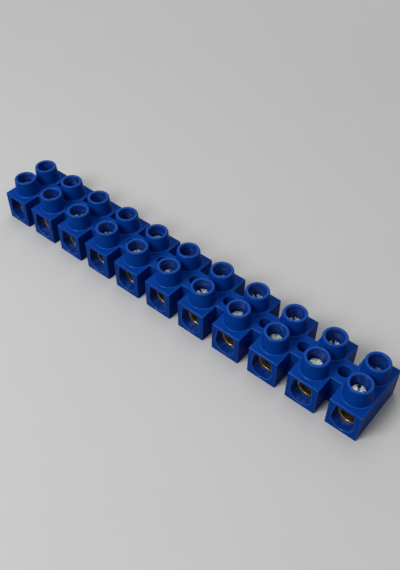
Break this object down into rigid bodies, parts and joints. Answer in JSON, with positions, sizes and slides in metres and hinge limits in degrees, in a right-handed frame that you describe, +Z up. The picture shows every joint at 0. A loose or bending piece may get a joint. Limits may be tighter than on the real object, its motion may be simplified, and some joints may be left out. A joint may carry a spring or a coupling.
{
  "type": "terminal strip",
  "caption": "Straight screw terminal strip: one moulded blue housing of collared pole blocks joined by drilled webs, with brass terminals and slotted clamp screws.",
  "frame": {"origin": "middle of the strip on the plane of its underside", "axes": "+X along the row of poles, +Y from the front row of screws to the back row, +Z up out of the screw wells"},
  "size_m": [0.129, 0.0186, 0.0144],
  "materials": {
    "housing_plastic": "satin",
    "terminal_brass": "drawn",
    "screw_steel": "zinc plated"
  },
  "bodies": {
    "strip": {"housing_01": "housing_plastic", "housing_02": "housing_plastic", "housing_03": "housing_plastic", "housing_04": "housing_plastic", "housing_05": "housing_plastic", "housing_06": "housing_plastic", "housing_07": "housing_plastic", "housing_08": "housing_plastic", "housing_09": "housing_plastic", "housing_10": "housing_plastic", "housing_11": "housing_plastic", "terminal_01": "terminal_brass", "terminal_02": "terminal_brass", "terminal_03": "terminal_brass", "terminal_04": "terminal_brass", "terminal_05": "terminal_brass", "terminal_06": "terminal_brass", "terminal_07": "terminal_brass", "terminal_08": "terminal_brass", "terminal_09": "terminal_brass", "terminal_10": "terminal_brass", "terminal_11": "terminal_brass"},
    "screw_01_front": {"screw_01_front": "screw_steel"},
    "screw_01_back": {"screw_01_back": "screw_steel"},
    "screw_02_front": {"screw_02_front": "screw_steel"},
    "screw_02_back": {"screw_02_back": "screw_steel"},
    "screw_03_front": {"screw_03_front": "screw_steel"},
    "screw_03_back": {"screw_03_back": "screw_steel"},
    "screw_04_front": {"screw_04_front": "screw_steel"},
    "screw_04_back": {"screw_04_back": "screw_steel"},
    "screw_05_front": {"screw_05_front": "screw_steel"},
    "screw_05_back": {"screw_05_back": "screw_steel"},
    "screw_06_front": {"screw_06_front": "screw_steel"},
    "screw_06_back": {"screw_06_back": "screw_steel"},
    "screw_07_front": {"screw_07_front": "screw_steel"},
    "screw_07_back": {"screw_07_back": "screw_steel"},
    "screw_08_front": {"screw_08_front": "screw_steel"},
    "screw_08_back": {"screw_08_back": "screw_steel"},
    "screw_09_front": {"screw_09_front": "screw_steel"},
    "screw_09_back": {"screw_09_back": "screw_steel"},
    "screw_10_front": {"screw_10_front": "screw_steel"},
    "screw_10_back": {"screw_10_back": "screw_steel"},
    "screw_11_front": {"screw_11_front": "screw_steel"},
    "screw_11_back": {"screw_11_back": "screw_steel"}
  },
  "joints": [
    {"name": "screw_01_front_travel", "type": "slide", "parent": "strip", "child": "screw_01_front", "axis": [0, 0, 1], "range_m": [-0.00355, 0.00122]},
    {"name": "screw_01_back_travel", "type": "slide", "parent": "strip", "child": "screw_01_back", "axis": [0, 0, 1], "range_m": [-0.00285, 0.00192]},
    {"name": "screw_02_front_travel", "type": "slide", "parent": "strip", "child": "screw_02_front", "axis": [0, 0, 1], "range_m": [-0.00335, 0.00142]},
    {"name": "screw_02_back_travel", "type": "slide", "parent": "strip", "child": "screw_02_back", "axis": [0, 0, 1], "range_m": [-0.00315, 0.00162]},
    {"name": "screw_03_front_travel", "type": "slide", "parent": "strip", "child": "screw_03_front", "axis": [0, 0, 1], "range_m": [-0.00365, 0.00112]},
    {"name": "screw_03_back_travel", "type": "slide", "parent": "strip", "child": "screw_03_back", "axis": [0, 0, 1], "range_m": [-0.00275, 0.00202]},
    {"name": "screw_04_front_travel", "type": "slide", "parent": "strip", "child": "screw_04_front", "axis": [0, 0, 1], "range_m": [-0.00345, 0.00132]},
    {"name": "screw_04_back_travel", "type": "slide", "parent": "strip", "child": "screw_04_back", "axis": [0, 0, 1], "range_m": [-0.00295, 0.00182]},
    {"name": "screw_05_front_travel", "type": "slide", "parent": "strip", "child": "screw_05_front", "axis": [0, 0, 1], "range_m": [-0.00355, 0.00122]},
    {"name": "screw_05_back_travel", "type": "slide", "parent": "strip", "child": "screw_05_back", "axis": [0, 0, 1], "range_m": [-0.00325, 0.00152]},
    {"name": "screw_06_front_travel", "type": "slide", "parent": "strip", "child": "screw_06_front", "axis": [0, 0, 1], "range_m": [-0.00335, 0.00142]},
    {"name": "screw_06_back_travel", "type": "slide", "parent": "strip", "child": "screw_06_back", "axis": [0, 0, 1], "range_m": [-0.00285, 0.00192]},
    {"name": "screw_07_front_travel", "type": "slide", "parent": "strip", "child": "screw_07_front", "axis": [0, 0, 1], "range_m": [-0.00365, 0.00112]},
    {"name": "screw_07_back_travel", "type": "slide", "parent": "strip", "child": "screw_07_back", "axis": [0, 0, 1], "range_m": [-0.00275, 0.00202]},
    {"name": "screw_08_front_travel", "type": "slide", "parent": "strip", "child": "screw_08_front", "axis": [0, 0, 1], "range_m": [-0.00345, 0.00132]},
    {"name": "screw_08_back_travel", "type": "slide", "parent": "strip", "child": "screw_08_back", "axis": [0, 0, 1], "range_m": [-0.00325, 0.00152]},
    {"name": "screw_09_front_travel", "type": "slide", "parent": "strip", "child": "screw_09_front", "axis": [0, 0, 1], "range_m": [-0.00355, 0.00122]},
    {"name": "screw_09_back_travel", "type": "slide", "parent": "strip", "child": "screw_09_back", "axis": [0, 0, 1], "range_m": [-0.00295, 0.00182]},
    {"name": "screw_10_front_travel", "type": "slide", "parent": "strip", "child": "screw_10_front", "axis": [0, 0, 1], "range_m": [-0.00355, 0.00122]},
    {"name": "screw_10_back_travel", "type": "slide", "parent": "strip", "child": "screw_10_back", "axis": [0, 0, 1], "range_m": [-0.00285, 0.00192]},
    {"name": "screw_11_front_travel", "type": "slide", "parent": "strip", "child": "screw_11_front", "axis": [0, 0, 1], "range_m": [-0.00355, 0.00122]},
    {"name": "screw_11_back_travel", "type": "slide", "parent": "strip", "child": "screw_11_back", "axis": [0, 0, 1], "range_m": [-0.00215, 0.00262]}
  ]
}
